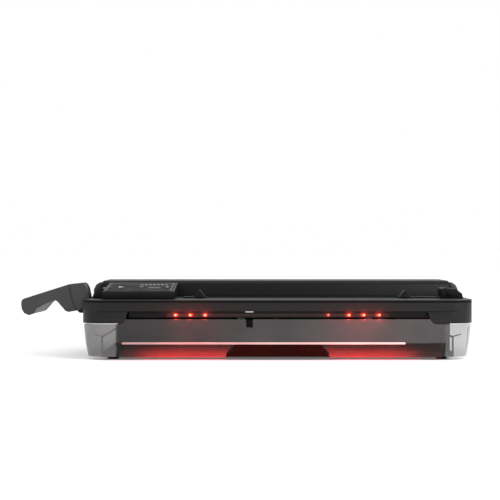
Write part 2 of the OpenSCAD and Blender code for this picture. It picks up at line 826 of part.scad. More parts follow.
module filter_drawer() {
  face_t = 3;
  wall = 2;
  pull_half = 18;
  tray_x0 = 214;
  face_x = wall_right_x + wall_t + slide_gap;
  color("#26272a") at_body() difference() {
    union() {
      span([tray_x0, drawer_y0, drawer_z0], [wall_right_x + wall_t, drawer_y1, drawer_z1]);
      span([face_x - 1, drawer_y0 - 4, drawer_z0 - 1.5], [face_x + face_t, drawer_y1 + 4, drawer_z1 + 4]);
      span([wall_right_x + wall_t + 2, -30 - pull_half, 55],
        [wall_right_x + wall_t + 9, -30 + pull_half, 58]);
    }
    span([tray_x0 + wall, drawer_y0 + wall, drawer_z0 + wall],
      [wall_right_x + 1, drawer_y1 - wall, drawer_z1 + 1]);
    span([wall_right_x, drawer_y0 - 5, drawer_z1], [face_x, drawer_y1 + 5, drawer_z1 + 5]);
    span([wall_right_x - 1, drawer_y0 - 5, drawer_z0 - 3], [face_x, drawer_y0, drawer_z1 + 5]);
    span([wall_right_x - 1, drawer_y1, drawer_z0 - 3], [face_x, drawer_y1 + 5, drawer_z1 + 5]);
    span([wall_right_x - 1, drawer_y0 - 5, drawer_z0 - 3], [face_x, drawer_y1 + 5, drawer_z0]);
  }
}

// one level of the door's solid: its plan drawn in at the sides and at the front
module door_level(z, side_in, front_in) {
  r = corner_r;
  x = half_w - side_in;
  translate([0, 0, z]) linear_extrude(eps) {
    translate([-x, front_y + front_in + r]) square([2 * x, door_rear_y + 40 - front_y - front_in - r]);
    for (s = [-1, 1]) translate([s * (x - r), front_y + front_in + r]) circle(r, $fn = 32);
    translate([-x + r, front_y + front_in]) square([2 * (x - r), r]);
  }
}

module door_solid(t) {
  low_z = foot_h + 1.2;
  hull() {
    door_level(door_top_z - eps + t, t, t);
    door_level(door_crease_z, 4 + t, 0.6 + t);
  }
  hull() {
    door_level(door_crease_z, 4 + t, 0.6 + t);
    door_level(low_z - t / 3, 7.5 + t, 8 + t);
  }
}

module front_door() {
  sweep_r = block_z - door_axis_z - 0.8;
  gap = 0.8;
  color([0.35, 0.36, 0.38, 0.45]) at_body() {
    difference() {
      door_solid(0);
      difference() {
        door_solid(door_t);
        span([-half_w, front_y, 0], [half_w, front_y + 60, foot_h + 1.2]);
      }
      difference() {
        span([-half_w, door_axis_y, 0], [half_w, door_axis_y + 60, door_top_z + 5]);
        bar_x(door_axis_y, door_axis_z, sweep_r, -half_w - 1, half_w + 1);
      }
      for (m = [0, 1]) mirror([m, 0, 0]) along_y(front_y - 1, front_y + 60)
        polygon(concat([[block_in_top - gap, door_top_z + 5]],
          [for (i = [1:4]) block_end[i] - [gap, gap * i / 4]],
          [[half_w + 1, block_z - gap], [half_w + 1, door_top_z + 5]]));
      span([tab_x - 5.5, front_y - 1, 54], [tab_x + 5.5, front_y + 10, door_top_z + 5]);
      span([-half_w, door_rear_y, 0], [half_w, rear_y, door_top_z + 5]);
    }
    for (s = [-1, 1]) difference() {
      union() {
        bar_x(door_axis_y, door_axis_z, knuckle_r, s * 274.7 - 4, s * 274.7 + 4);
        span([s * 274.7 - 4, front_y + 9.2, door_axis_z - 3], [s * 274.7 + 4, door_axis_y, door_axis_z + 5]);
      }
      bar_x(door_axis_y, door_axis_z, hinge_pin_r + run_gap, s * 274.7 - 5, s * 274.7 + 5);
    }
  }
}

module door_tab() {
  color("#0e0e10") at_body() {
    span([tab_x - 5.5, front_y, 54], [tab_x + 5.5, front_y + 4.6, door_top_z - 0.5]);
  }
}

// a plate that lies over the slot, with two lips in the slot and a finger wedge at one end
module slot_cover(x0, x1, wedge_x) {
  cover_t = 2;
  wedge_half = 11;
  wedge_top = deck_z + 13;
  y0 = slot_y - slot_half - 4;
  y1 = slot_y + slot_half + 4;
  span([x0, y0, deck_z + slide_gap], [x1, y1, deck_z + slide_gap + cover_t]);
  for (s = [-1, 1]) span([x0 + 2, slot_y + s * 12.4 - 1, deck_low + 1],
    [min(x1, slot_x1) - 2, slot_y + s * 12.4 + 1, deck_z + 1]);
  along_y(slot_y - 12, slot_y + 12)
    polygon([[wedge_x - wedge_half, deck_z + 1], [wedge_x - 1, wedge_top], [wedge_x + 1, wedge_top],
      [wedge_x + wedge_half, deck_z + 1]]);
}

module slot_cover_left() {
  color("#1c1c1f") at_body() slot_cover(slot_x0 + 1, slot_x0 + 39, slot_x0 + 28);
}

module slot_cover_right() {
  color("#1c1c1f") at_body() slot_cover(205, 275.5, 216);
}

module air_filter() {
  pleats = 13;
  pitch = 64 / pleats;
  x0 = 218;
  color("#e4e2da") at_body() union() {
    span([x0, drawer_y0 + 4, drawer_z0 + 2], [x0 + 64, drawer_y1 - 4, drawer_z0 + 14]);
    for (i = [0:pleats - 1]) span([x0 + pitch * (i + 0.2), drawer_y0 + 4, drawer_z0 + 13],
      [x0 + pitch * (i + 0.8), drawer_y1 - 4, drawer_z0 + 22]);
  }
}

base_pan();
feet();
pan_screws();
dust_ramp();
chamber_wall_left();
chamber_wall_right();
rear_panel();
top_cover();
rear_ridge();
ridge_caps();
slot_blocks();
corner_blocks();
status_fascia();
status_light_bar();
status_leds();
chamber_lights();
control_pod();
control_panel();
display_window();
start_button();
minus_button();
plus_button();
control_board();
power_supply();
power_inlet();
power_switch();
lever_bracket();
lever_pin();
clamp_lever();
lever_grip_pad();
drawbar();
drawbar_spring();
jaw_front();
jaw_rear();
jaw_studs();
rail_hangers();
guide_rods();
rod_brackets();
carriage();
carriage_bushes();
motor_arm();
arm_pin();
arm_spring();
grinding_motor();
spindle();
grinding_ring();
ring_nut();
stepper_motor();
drive_pulley();
idler_pulley();
idler_pin();
drive_belt();
blower_housing();
blower_impeller();
filter_drawer();
air_filter();
front_door();
door_tab();
slot_cover_left();
slot_cover_right();
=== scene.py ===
"""Skate sharpener: the looks of every visible piece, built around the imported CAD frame. Metres, +Z up."""

import json
import math

import bmesh
import bpy
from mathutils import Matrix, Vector


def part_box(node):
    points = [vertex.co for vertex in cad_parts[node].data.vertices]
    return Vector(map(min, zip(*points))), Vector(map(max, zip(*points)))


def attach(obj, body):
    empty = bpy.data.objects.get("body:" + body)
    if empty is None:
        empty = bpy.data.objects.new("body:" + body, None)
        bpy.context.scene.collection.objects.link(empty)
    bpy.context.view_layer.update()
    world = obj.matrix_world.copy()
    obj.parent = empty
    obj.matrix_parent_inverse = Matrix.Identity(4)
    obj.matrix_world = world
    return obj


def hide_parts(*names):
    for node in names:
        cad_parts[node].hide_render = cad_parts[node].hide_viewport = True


MM = 0.001

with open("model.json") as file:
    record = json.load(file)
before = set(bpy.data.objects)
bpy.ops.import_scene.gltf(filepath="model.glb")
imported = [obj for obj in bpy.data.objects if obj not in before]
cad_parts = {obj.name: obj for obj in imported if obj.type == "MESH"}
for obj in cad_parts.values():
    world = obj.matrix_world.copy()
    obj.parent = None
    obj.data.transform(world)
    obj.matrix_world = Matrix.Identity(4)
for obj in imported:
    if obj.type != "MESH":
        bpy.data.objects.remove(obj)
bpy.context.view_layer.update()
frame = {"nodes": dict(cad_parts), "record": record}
nodes = frame["nodes"]
body_of = {n: b for b, names in frame["record"]["behaviour"]["bodies"].items() for n in names}
slot_of = {s["node"]: s["material_slot"] for s in frame["record"]["subparts"]}


# ---------------------------------------------------------------- places, worked out from the frame

deck_low, deck_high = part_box("top_cover")
center_x = (deck_low.x + deck_high.x) / 2
half_w = (deck_high.x - deck_low.x) / 2
front_y = deck_low.y
lip_z = deck_low.z
deck_z = deck_high.z

# the smoky door: its foot, its crease, its wall, its round corners, and the hinge that it turns about
DOOR_LOW = 5.3 * MM
DOOR_CREASE = 28 * MM
DOOR_THICK = 3 * MM
DOOR_CORNER = 38 * MM
DOOR_REAR = front_y + 46 * MM
HINGE_Y = -124 * MM
HINGE_Z = 10.5 * MM
SWEEP_R = 48.7 * MM
TAB_X = -46 * MM
TAB_HALF = 5.5 * MM
TAB_Z = 54 * MM
# the door's top edge steps down under the corner blocks: distance from the centre, and height
TOP_STEPS = [(0, 67), (245.05, 67), (246.7, 64.1), (249.1, 60.9), (253.7, 59.4), (258, 59.2), (330, 59.2)]
# the door is drawn in at the sides and at the front towards its foot: height, side, front
INSETS = [(5.3, 7.5, 8.0), (28, 4.0, 0.6), (67, 0.0, 0.0)]
# the tapered recess in the door's lower face: its reach each way at the crease, and how much more at the foot
RECESS_LEFT = 70 * MM
RECESS_RIGHT = 67 * MM
FLARE_LEFT = 16 * MM
FLARE_RIGHT = 20 * MM
RECESS_DEPTH = 1.2 * MM


# ---------------------------------------------------------------- material helpers


# the values that a noise texture keeps between for the most part
NOISE_LOW = 0.3
NOISE_HIGH = 0.7


def shader(name):
    """A new node material, its tree and its Principled shader."""
    mat = bpy.data.materials.new(name)
    mat.use_nodes = True
    tree = mat.node_tree
    return mat, tree, tree.nodes["Principled BSDF"]


def noise(tree, scale, detail=4.0, stretch=(1, 1, 1)):
    """Noise over the object's own coordinates, in metres, stretched along an axis for brushed metal."""
    coord = tree.nodes.new("ShaderNodeTexCoord")
    mapping = tree.nodes.new("ShaderNodeMapping")
    mapping.inputs["Scale"].default_value = stretch
    texture = tree.nodes.new("ShaderNodeTexNoise")
    texture.inputs["Scale"].default_value = scale
    texture.inputs["Detail"].default_value = detail
    tree.links.new(coord.outputs["Object"], mapping.inputs["Vector"])
    tree.links.new(mapping.outputs["Vector"], texture.inputs["Vector"])
    return texture.outputs["Fac"]


def spread(tree, value, low, high):
    """Maps a noise value on to low to high."""
    node = tree.nodes.new("ShaderNodeMapRange")
    node.inputs["From Min"].default_value = NOISE_LOW
    node.inputs["From Max"].default_value = NOISE_HIGH
    node.inputs["To Min"].default_value = low
    node.inputs["To Max"].default_value = high
    tree.links.new(value, node.inputs["Value"])
    return node.outputs["Result"]


def tint(tree, value, dark, light):
    """A colour that goes from dark to light with a noise value."""
    node = tree.nodes.new("ShaderNodeValToRGB")
    first, last = node.color_ramp.elements
    first.position = NOISE_LOW
    first.color = (*dark, 1)
    last.position = NOISE_HIGH
    last.color = (*light, 1)
    tree.links.new(value, node.inputs["Fac"])
    return node.outputs["Color"]


def bump(tree, value, depth, bsdf):
    """A bump of a real depth in metres on the shader's normal."""
    node = tree.nodes.new("ShaderNodeBump")
    node.inputs["Distance"].default_value = depth
    node.inputs["Strength"].default_value = 1.0
    tree.links.new(value, node.inputs["Height"])
    tree.links.new(node.outputs["Normal"], bsdf.inputs["Normal"])


def scaled(colour, factor):
    """A colour made lighter or darker by a factor."""
    return tuple(min(1.0, c * factor) for c in colour)


def place_along(tree, axis, offset=0.0, fold=False):
    """The place along one of the object's own axes, in metres; fold measures both ways from the offset."""
    coord = tree.nodes.new("ShaderNodeTexCoord")
    split = tree.nodes.new("ShaderNodeSeparateXYZ")
    tree.links.new(coord.outputs["Object"], split.inputs["Vector"])
    value = split.outputs[axis]
    if offset or fold:
        shift = tree.nodes.new("ShaderNodeMath")
        shift.operation = "SUBTRACT"
        shift.inputs[1].default_value = offset
        tree.links.new(value, shift.inputs[0])
        value = shift.outputs[0]
    if fold:
        size = tree.nodes.new("ShaderNodeMath")
        size.operation = "ABSOLUTE"
        tree.links.new(value, size.inputs[0])
        value = size.outputs[0]
    return value


def ramp(tree, value, start, stop, low, high, interpolation="SMOOTHSTEP"):
    """A value that goes from low to high as another goes from start to stop."""
    node = tree.nodes.new("ShaderNodeMapRange")
    node.interpolation_type = interpolation
    node.inputs["From Min"].default_value = start
    node.inputs["From Max"].default_value = stop
    node.inputs["To Min"].default_value = low
    node.inputs["To Max"].default_value = high
    tree.links.new(value, node.inputs["Value"])
    return node.outputs["Result"]


def ramp_along(tree, axis, start, stop, low, high, offset=0.0, fold=False):
    """A value that goes from low to high along one of the object's own axes."""
    return ramp(tree, place_along(tree, axis, offset, fold), start, stop, low, high)


def blend_values(tree, share, low, high):
    """low where share is 0 and high where it is 1; each is a number or a socket."""
    node = tree.nodes.new("ShaderNodeMix")
    node.data_type = "FLOAT"
    tree.links.new(share, node.inputs[0])
    for key, value in ((2, low), (3, high)):
        if isinstance(value, float):
            node.inputs[key].default_value = value
        else:
            tree.links.new(value, node.inputs[key])
    return node.outputs[0]


def mix_colour(tree, share, low, high):
    """The colour low where share is 0 and high where it is 1."""
    node = tree.nodes.new("ShaderNodeMix")
    node.data_type = "RGBA"
    tree.links.new(share, node.inputs[0])
    tree.links.new(low, node.inputs[6])
    tree.links.new(high, node.inputs[7])
    return node.outputs[2]


def combine(tree, operation, a, b):
    """Two values put together by a sum, a difference or a product."""
    node = tree.nodes.new("ShaderNodeMath")
    node.operation = operation
    tree.links.new(a, node.inputs[0])
    tree.links.new(b, node.inputs[1])
    return node.outputs[0]


# near-black colours of the painted shade in the deck's parting groove
GROOVE_SHADE_DARK = (0.0005, 0.0005, 0.0005)
GROOVE_SHADE_LIGHT = (0.001, 0.001, 0.001)


def plastic(name, colour, rough=0.42, grain=0.00002, spread_rough=0.06, coat=0.0, shine=0.25, groove=None):
    """Moulded plastic: a fine spark texture, a faint cloud in its colour, and uneven sheen from handling.

    groove is the lowest and highest Z of a band painted near-black and dull, a painted shade that stands in
    for the shadow in a parting groove, if the piece has one.
    """
    mat, tree, bsdf = shader(name)
    cloud = noise(tree, 14.0)
    base = tint(tree, cloud, scaled(colour, 0.88), scaled(colour, 1.12))
    handling = noise(tree, 38.0, detail=6.0)
    sheen = spread(tree, handling, rough - spread_rough, rough + spread_rough)
    if groove:
        low, high = groove
        soft = 0.4 * MM
        share = combine(tree, "MULTIPLY", ramp_along(tree, "Z", low, low + soft, 0.0, 1.0),
                        ramp_along(tree, "Z", high - soft, high, 1.0, 0.0))
        base = mix_colour(tree, share, base, tint(tree, cloud, GROOVE_SHADE_DARK, GROOVE_SHADE_LIGHT))
        sheen = blend_values(tree, share, sheen, 0.97)
    tree.links.new(base, bsdf.inputs["Base Color"])
    tree.links.new(sheen, bsdf.inputs["Roughness"])
    if grain:
        bump(tree, noise(tree, 2600.0, detail=2.0), grain, bsdf)
    bsdf.inputs["Coat Weight"].default_value = coat
    bsdf.inputs["Coat Roughness"].default_value = 0.12
    bsdf.inputs["Specular IOR Level"].default_value = shine
    return mat


def metal(name, colour, rough=0.3, stretch=(4, 200, 200), depth=0.000015):
    """Machined metal: fine lines along one axis, in its colour, its sheen and its surface."""
    mat, tree, bsdf = shader(name)
    lines = noise(tree, 12.0, detail=5.0, stretch=stretch)
    tree.links.new(tint(tree, lines, scaled(colour, 0.86), scaled(colour, 1.1)), bsdf.inputs["Base Color"])
    tree.links.new(spread(tree, lines, rough - 0.07, rough + 0.07), bsdf.inputs["Roughness"])
    bump(tree, lines, depth, bsdf)
    bsdf.inputs["Metallic"].default_value = 1.0
    return mat


def lamp(name, colour, strength):
    """A lit lens: a bright core colour with a faint mottle, and its own glow."""
    mat, tree, bsdf = shader(name)
    tree.links.new(tint(tree, noise(tree, 900.0), scaled(colour, 0.9), colour), bsdf.inputs["Base Color"])
    bsdf.inputs["Emission Color"].default_value = (*colour, 1)
    bsdf.inputs["Emission Strength"].default_value = strength
    bsdf.inputs["Roughness"].default_value = 0.2
    return mat


def recess_share(tree):
    """1 inside the tapered recess of the door's lower face, and 0 outside it."""
    top_half = (RECESS_LEFT + RECESS_RIGHT) / 2
    foot_half = top_half + (FLARE_LEFT + FLARE_RIGHT) / 2
    height = place_along(tree, "Z")
    half = ramp(tree, height, DOOR_LOW, DOOR_CREASE, foot_half, top_half, interpolation="LINEAR")
    beyond = combine(tree, "SUBTRACT", place_along(tree, "X", offset=center_x, fold=True), half)
    inside = ramp(tree, beyond, -1.6 * MM, 0.6 * MM, 1.0, 0.0)
    below = ramp_along(tree, "Z", DOOR_CREASE - 1.8 * MM, DOOR_CREASE - 0.2 * MM, 1.0, 0.0)
    return combine(tree, "MULTIPLY", inside, below)


def smoky_clear(name):
    """Tinted polycarbonate: a dark smoked band across the chamber, clear at its ends, with light painted in:
    more opaque above the crease as a painted reflection, paler to the right and darker at the left end as
    painted light from the right, and a painted red glow in the recess.
    """
    mat, tree, bsdf = shader(name)
    haze = noise(tree, 22.0, detail=5.0)
    # painted reflection: above the crease the door is more opaque and paler than the sloped foot, in place of
    # the upright face reflecting more
    above = ramp_along(tree, "Z", DOOR_CREASE - 1.5 * MM, DOOR_CREASE + 2 * MM, 0.0, 1.0)
    core = ramp_along(tree, "X", 265.5 * MM, 269 * MM, 1.0, 0.0, offset=center_x + 5 * MM, fold=True)
    # painted light: the clear ends are more opaque at the left and clearer at the right, where the key light
    # falls
    lit_from_right = ramp_along(tree, "X", -half_w, half_w, 0.0, 1.0, offset=center_x)
    recess = recess_share(tree)
    band = blend_values(tree, recess, blend_values(tree, above, 0.34, 0.86), 0.88)
    corner = blend_values(tree, lit_from_right, 0.72, 0.42)
    tree.links.new(blend_values(tree, core, corner, band), bsdf.inputs["Alpha"])
    deep = tint(tree, haze, (0.008, 0.008, 0.0085), (0.015, 0.015, 0.0155))
    thin = tint(tree, haze, (0.034, 0.0335, 0.0345), (0.050, 0.0495, 0.051))
    # painted light: the smoke is paler towards the right, where the key light falls
    paler_where_lit = ramp_along(tree, "X", -280 * MM, 160 * MM, 0.0, 1.0, offset=center_x)
    smoke = mix_colour(tree, paler_where_lit, deep, thin)
    foot = tint(tree, haze, (0.008, 0.0075, 0.0075), (0.014, 0.013, 0.013))
    # painted red glow: the recess in the lower face is tinted red-brown in place of the chamber's red light
    # on it
    brown = tint(tree, haze, (0.013, 0.0014, 0.0008), (0.021, 0.0024, 0.0013))
    edge = tint(tree, haze, (0.09, 0.09, 0.092), (0.14, 0.14, 0.142))
    face = mix_colour(tree, recess, mix_colour(tree, above, foot, smoke), brown)
    tree.links.new(mix_colour(tree, core, edge, face), bsdf.inputs["Base Color"])
    tree.links.new(spread(tree, noise(tree, 60.0), 0.06, 0.15), bsdf.inputs["Roughness"])
    tree.links.new(blend_values(tree, recess, 0.7, 0.0), bsdf.inputs["Coat Weight"])
    bsdf.inputs["Coat Roughness"].default_value = 0.1
    bsdf.inputs["Specular IOR Level"].default_value = 0.04
    bsdf.inputs["IOR"].default_value = 1.45
    return mat


def glow_paint_sheet(name, outer, inner):
    """A thin sheet with a red glow painted on as emission: brightest low down, fading up the slope and to its
    outer end.
    """
    mat, tree, bsdf = shader(name)
    # the plate is at its brightest from 38 percent of the way in
    full = outer * 0.62 + inner * 0.38
    rise = ramp_along(tree, "Z", 4 * MM, 24 * MM, 1.0, 0.04)
    reach = ramp_along(tree, "X", outer * MM, full * MM, 0.04, 1.0, offset=center_x)
    cloud = spread(tree, noise(tree, 30.0), 1.15, 1.45)
    strength = combine(tree, "MULTIPLY", combine(tree, "MULTIPLY", rise, reach), cloud)
    tree.links.new(strength, bsdf.inputs["Emission Strength"])
    bsdf.inputs["Emission Color"].default_value = (1.0, 0.030, 0.028, 1)
    mottle = tint(tree, noise(tree, 400.0), (0.020, 0.004, 0.004), (0.032, 0.006, 0.006))
    tree.links.new(mottle, bsdf.inputs["Base Color"])
    bsdf.inputs["Roughness"].default_value = 0.4
    return mat


def highlight_bead_paint(name):
    """Pale reddish bead colour: a painted highlight with the red glow painted into it, brightest at the right
    where the key light falls and duller towards its left end.
    """
    mat, tree, bsdf = shader(name)
    along = ramp_along(tree, "X", -250 * MM, 200 * MM, 0.0, 1.0, offset=center_x)
    dull = tint(tree, noise(tree, 40.0), (0.36, 0.21, 0.21), (0.43, 0.26, 0.26))
    pale = tint(tree, noise(tree, 40.0), (0.58, 0.40, 0.38), (0.66, 0.47, 0.45))
    tree.links.new(mix_colour(tree, along, dull, pale), bsdf.inputs["Base Color"])
    bsdf.inputs["Roughness"].default_value = 0.45
    return mat


def ring_grit(name):
    """Bonded abrasive: coarse bright grains in a brown bond."""
    mat, tree, bsdf = shader(name)
    grit = noise(tree, 1900.0, detail=3.0)
    tree.links.new(tint(tree, grit, (0.10, 0.055, 0.03), (0.46, 0.34, 0.22)), bsdf.inputs["Base Color"])
    bump(tree, grit, 0.00025, bsdf)
    bsdf.inputs["Roughness"].default_value = 0.75
    return mat


def filter_paper(name):
    """Pleated filter paper: fibrous, off-white, a little dusty."""
    mat, tree, bsdf = shader(name)
    fibre = noise(tree, 500.0, detail=6.0, stretch=(1, 6, 1))
    tree.links.new(tint(tree, fibre, (0.55, 0.53, 0.48), (0.8, 0.78, 0.72)), bsdf.inputs["Base Color"])
    bump(tree, fibre, 0.0001, bsdf)
    bsdf.inputs["Roughness"].default_value = 0.9
    return mat


# ---------------------------------------------------------------- the finishes, one per material slot

HOUSING_LOOK = {"colour": (0.0075, 0.0074, 0.0076), "rough": 0.44, "shine": 0.17, "spread_rough": 0.02}
# the band of painted shade under the deck's top edge, from its lowest to its highest Z
DECK_GROOVE_SHADE = (deck_z - 4.6 * MM, deck_z - 1.2 * MM)

finish = {
    "housing_plastic": plastic("housing_plastic", **HOUSING_LOOK),
    "deck_plastic": plastic("deck_plastic", groove=DECK_GROOVE_SHADE, **HOUSING_LOOK),
    "black_plastic": plastic("black_plastic", (0.0034, 0.0033, 0.0035), rough=0.42, shine=0.12),
    "ridge_plastic": plastic("ridge_plastic", (0.0045, 0.0044, 0.0046), rough=0.46, shine=0.12,
                             grain=0.000008, spread_rough=0.02),
    "cap_plastic": plastic("cap_plastic", (0.022, 0.022, 0.023), rough=0.40, shine=0.25),
    "panel_film": plastic("panel_film", (0.012, 0.012, 0.0125), rough=0.62, grain=0.00001, shine=0.08),
    "key_plastic": plastic("key_plastic", (0.010, 0.010, 0.0105), rough=0.55, shine=0.12),
    "display_glass": plastic("display_glass", (0.004, 0.004, 0.006), rough=0.35, grain=0, shine=0.12),
    "light_bar": plastic("light_bar", (0.012, 0.004, 0.004), rough=0.22, grain=0),
    "led_red": lamp("led_red", (1.0, 0.07, 0.035), 6.0),
    "circuit_green": plastic("circuit_green", (0.010, 0.075, 0.028), rough=0.30, grain=0.00003),
    "steel": metal("steel", (0.60, 0.61, 0.62), rough=0.26),
    "jaw_alloy": metal("jaw_alloy", (0.34, 0.35, 0.37), rough=0.38),
    "motor_metal": plastic("motor_metal", (0.060, 0.062, 0.068), rough=0.34, coat=0.3),
    "carriage_plastic": plastic("carriage_plastic", (0.030, 0.031, 0.034), rough=0.48),
    "bush_bronze": metal("bush_bronze", (0.56, 0.37, 0.17), rough=0.34),
    "ring_abrasive": ring_grit("ring_abrasive"),
    "nut_plastic": plastic("nut_plastic", (0.014, 0.014, 0.016), rough=0.42),
    "lever_plastic": plastic("lever_plastic", (0.030, 0.030, 0.0305), rough=0.42, shine=0.3),
    # the grip pad's light grey stands in for the lit underside of the lever's tip: painted light
    "pad_plastic": plastic("pad_plastic", (0.132, 0.132, 0.134), rough=0.5),
    "switch_red": plastic("switch_red", (0.30, 0.016, 0.012), rough=0.25, coat=0.3),
    "belt_rubber": plastic("belt_rubber", (0.010, 0.010, 0.010), rough=0.75, grain=0.00008),
    "foot_rubber": plastic("foot_rubber", (0.005, 0.005, 0.005), rough=0.8, grain=0.00008, shine=0.1),
    "filter_paper": filter_paper("filter_paper"),
    "smoke_clear": smoky_clear("smoke_clear"),
    "led_bright": lamp("led_bright", (1.0, 0.11, 0.05), 7.0),
    "led_dim": lamp("led_dim", (1.0, 0.10, 0.06), 1.6),
    "guide_red": lamp("guide_red", (1.0, 0.035, 0.030), 0.8),
    # red glow painted as emission on the sheets over the sill and the dust ramp
    "guide_left": glow_paint_sheet("guide_left", -248, -84),
    "guide_right": glow_paint_sheet("guide_right", 244, 84),
    "pan_plastic": plastic("pan_plastic", (0.016, 0.016, 0.0165), rough=0.5, shine=0.2),
    "tab_black": plastic("tab_black", (0.0015, 0.0015, 0.0015), rough=0.6, shine=0.05, grain=0),
    "latch_steel": metal("latch_steel", (0.62, 0.60, 0.60), rough=0.35),
    # near-black bead along the deck's top edge: painted shade
    "seam_shade_black": plastic("seam_shade_black", (0.001, 0.001, 0.001), rough=0.8, shine=0.02, grain=0),
    "print_white": plastic("print_white", (0.70, 0.70, 0.70), rough=0.5, grain=0),
    "print_grey": plastic("print_grey", (0.060, 0.060, 0.062), rough=0.5, grain=0),
    # pale reddish bead along the door's crease: painted highlight
    "crease_painted_highlight": highlight_bead_paint("crease_painted_highlight"),
}
# nodes whose look differs from that of their slot
OWN_FINISH = {
    "top_cover": "deck_plastic", "chamber_lights": "guide_red", "base_pan": "pan_plastic",
    "dust_ramp": "pan_plastic", "door_tab": "tab_black",
}

for name, part in nodes.items():
    part.data.materials.clear()
    part.data.materials.append(finish[OWN_FINISH.get(name, slot_of[name])])


# ---------------------------------------------------------------- mesh helpers


def add_mesh(name, mesh, slot, body):
    """A new piece in the frame, with its finish, riding on a body."""
    mesh.materials.append(finish[slot])
    piece = bpy.data.objects.new(name, mesh)
    bpy.context.scene.collection.objects.link(piece)
    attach(piece, body)
    return piece


def from_bmesh(name, bm, slot, body, smooth=True):
    """A new piece from a bmesh, which is used up."""
    mesh = bpy.data.meshes.new(name)
    bm.to_mesh(mesh)
    bm.free()
    for face in mesh.polygons:
        face.use_smooth = smooth
    return add_mesh(name, mesh, slot, body)


def skin(bm, rows, closed=True):
    """Quads from each row of points to the next; a closed row also joins its last point to its first."""
    for a, b in zip(rows, rows[1:]):
        for i in range(len(a) if closed else len(a) - 1):
            j = (i + 1) % len(a)
            bm.faces.new((a[i], b[i], b[j], a[j]))


def cap(bm, rings):
    """Closes the first and the last ring with a flat face."""
    bm.faces.new(rings[0])
    bm.faces.new(list(reversed(rings[-1])))


def box_between(bm, low, high, edge=0.0):
    """A box from corner to corner, with its edges rounded off."""
    made = bmesh.ops.create_cube(bm, size=1.0)
    for v in made["verts"]:
        v.co = Vector([low[i] + (high[i] - low[i]) * (v.co[i] + 0.5) for i in range(3)])
    if edge:
        edges = list({e for v in made["verts"] for e in v.link_edges})
        bmesh.ops.bevel(bm, geom=edges, offset=edge, segments=3, profile=0.5, affect="EDGES")


# heights at which a node's edges stay square, because the next part meets them flush
FLUSH_Z = {"top_cover": lip_z, "corner_blocks": lip_z}


def soften(node, radius, segments=3, sharp=32):
    """Stands in for a CAD node with the same shape, its edges rounded off by a radius."""
    flush = FLUSH_Z.get(node)
    bm = bmesh.new()
    bm.from_mesh(nodes[node].data)
    bmesh.ops.remove_doubles(bm, verts=bm.verts, dist=1e-6)
    bmesh.ops.dissolve_limit(bm, angle_limit=math.radians(0.4), verts=bm.verts, edges=bm.edges)
    corners = [e for e in bm.edges if len(e.link_faces) == 2 and e.calc_face_angle(0) > math.radians(sharp)]
    if flush is not None:
        corners = [e for e in corners if any(abs(v.co.z - flush) > 0.1 * MM for v in e.verts)]
    bmesh.ops.bevel(bm, geom=corners, offset=radius, segments=segments, profile=0.5, affect="EDGES",
                    clamp_overlap=True, offset_type="OFFSET")
    piece = from_bmesh("soft_" + node, bm, slot_of[node], body_of[node])
    piece.data.materials[0] = finish[OWN_FINISH.get(node, slot_of[node])]
    piece.data.set_sharp_from_angle(angle=math.radians(38))
    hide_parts(node)


# ---------------------------------------------------------------- rounded edges on the moulded parts

EDGE_MM = {
    "top_cover": 2.2, "rear_ridge": 2.5, "ridge_caps": 3.5, "slot_blocks": 1.6, "dust_ramp": 0.5,
    "corner_blocks": 1.0, "status_fascia": 0.4, "control_pod": 1.4, "control_panel": 0.4, "start_button": 0.6,
    "minus_button": 0.6, "plus_button": 0.6, "clamp_lever": 2.0, "lever_grip_pad": 1.0, "lever_bracket": 1.0,
    "slot_cover_left": 0.6, "slot_cover_right": 0.6, "door_tab": 2.0, "feet": 0.8, "base_pan": 0.8,
    "filter_drawer": 0.6, "jaw_front": 0.5, "jaw_rear": 0.5, "carriage": 0.8, "motor_arm": 0.6,
    "grinding_motor": 0.8, "ring_nut": 0.5, "power_switch": 0.5, "power_inlet": 0.5, "stepper_motor": 1.0,
    "blower_housing": 0.8, "chamber_wall_left": 0.4, "chamber_wall_right": 0.4, "drawbar": 0.4,
}
for node_name, edge in EDGE_MM.items():
    soften(node_name, edge * MM)


# ---------------------------------------------------------------- the smoky front door

# how far up the lower and the upper face each row of points lies
LOWER_SHARES = (0, 0.04, 0.1, 0.25, 0.4, 0.55, 0.7, 0.85, 0.94, 0.975, 1)
UPPER_SHARES = (0.012, 0.03, 0.08, 0.2, 0.35, 0.5, 0.65, 0.8, 0.92, 0.97, 1)


def between(x, pairs):
    """The value at x on a line through pairs of x and value."""
    for (x0, v0), (x1, v1) in zip(pairs, pairs[1:]):
        if x <= x1:
            return v0 + (v1 - v0) * (x - x0) / (x1 - x0)
    return pairs[-1][1]


def ease(t):
    """0 to 1 with a soft start and a soft stop."""
    t = max(0.0, min(1.0, t))
    return t * t * (3 - 2 * t)


def hand_recess(x, z):
    """Depth of the shallow tapered recess in the middle of the lower face."""
    if z >= DOOR_CREASE:
        return 0.0
    drop = (DOOR_CREASE - z) / (DOOR_CREASE - DOOR_LOW)
    left = -RECESS_LEFT - drop * FLARE_LEFT
    right = RECESS_RIGHT + drop * FLARE_RIGHT
    inside = min(x - left, right - x)
    return RECESS_DEPTH * ease(inside / (1.6 * MM)) * ease(drop * 12)


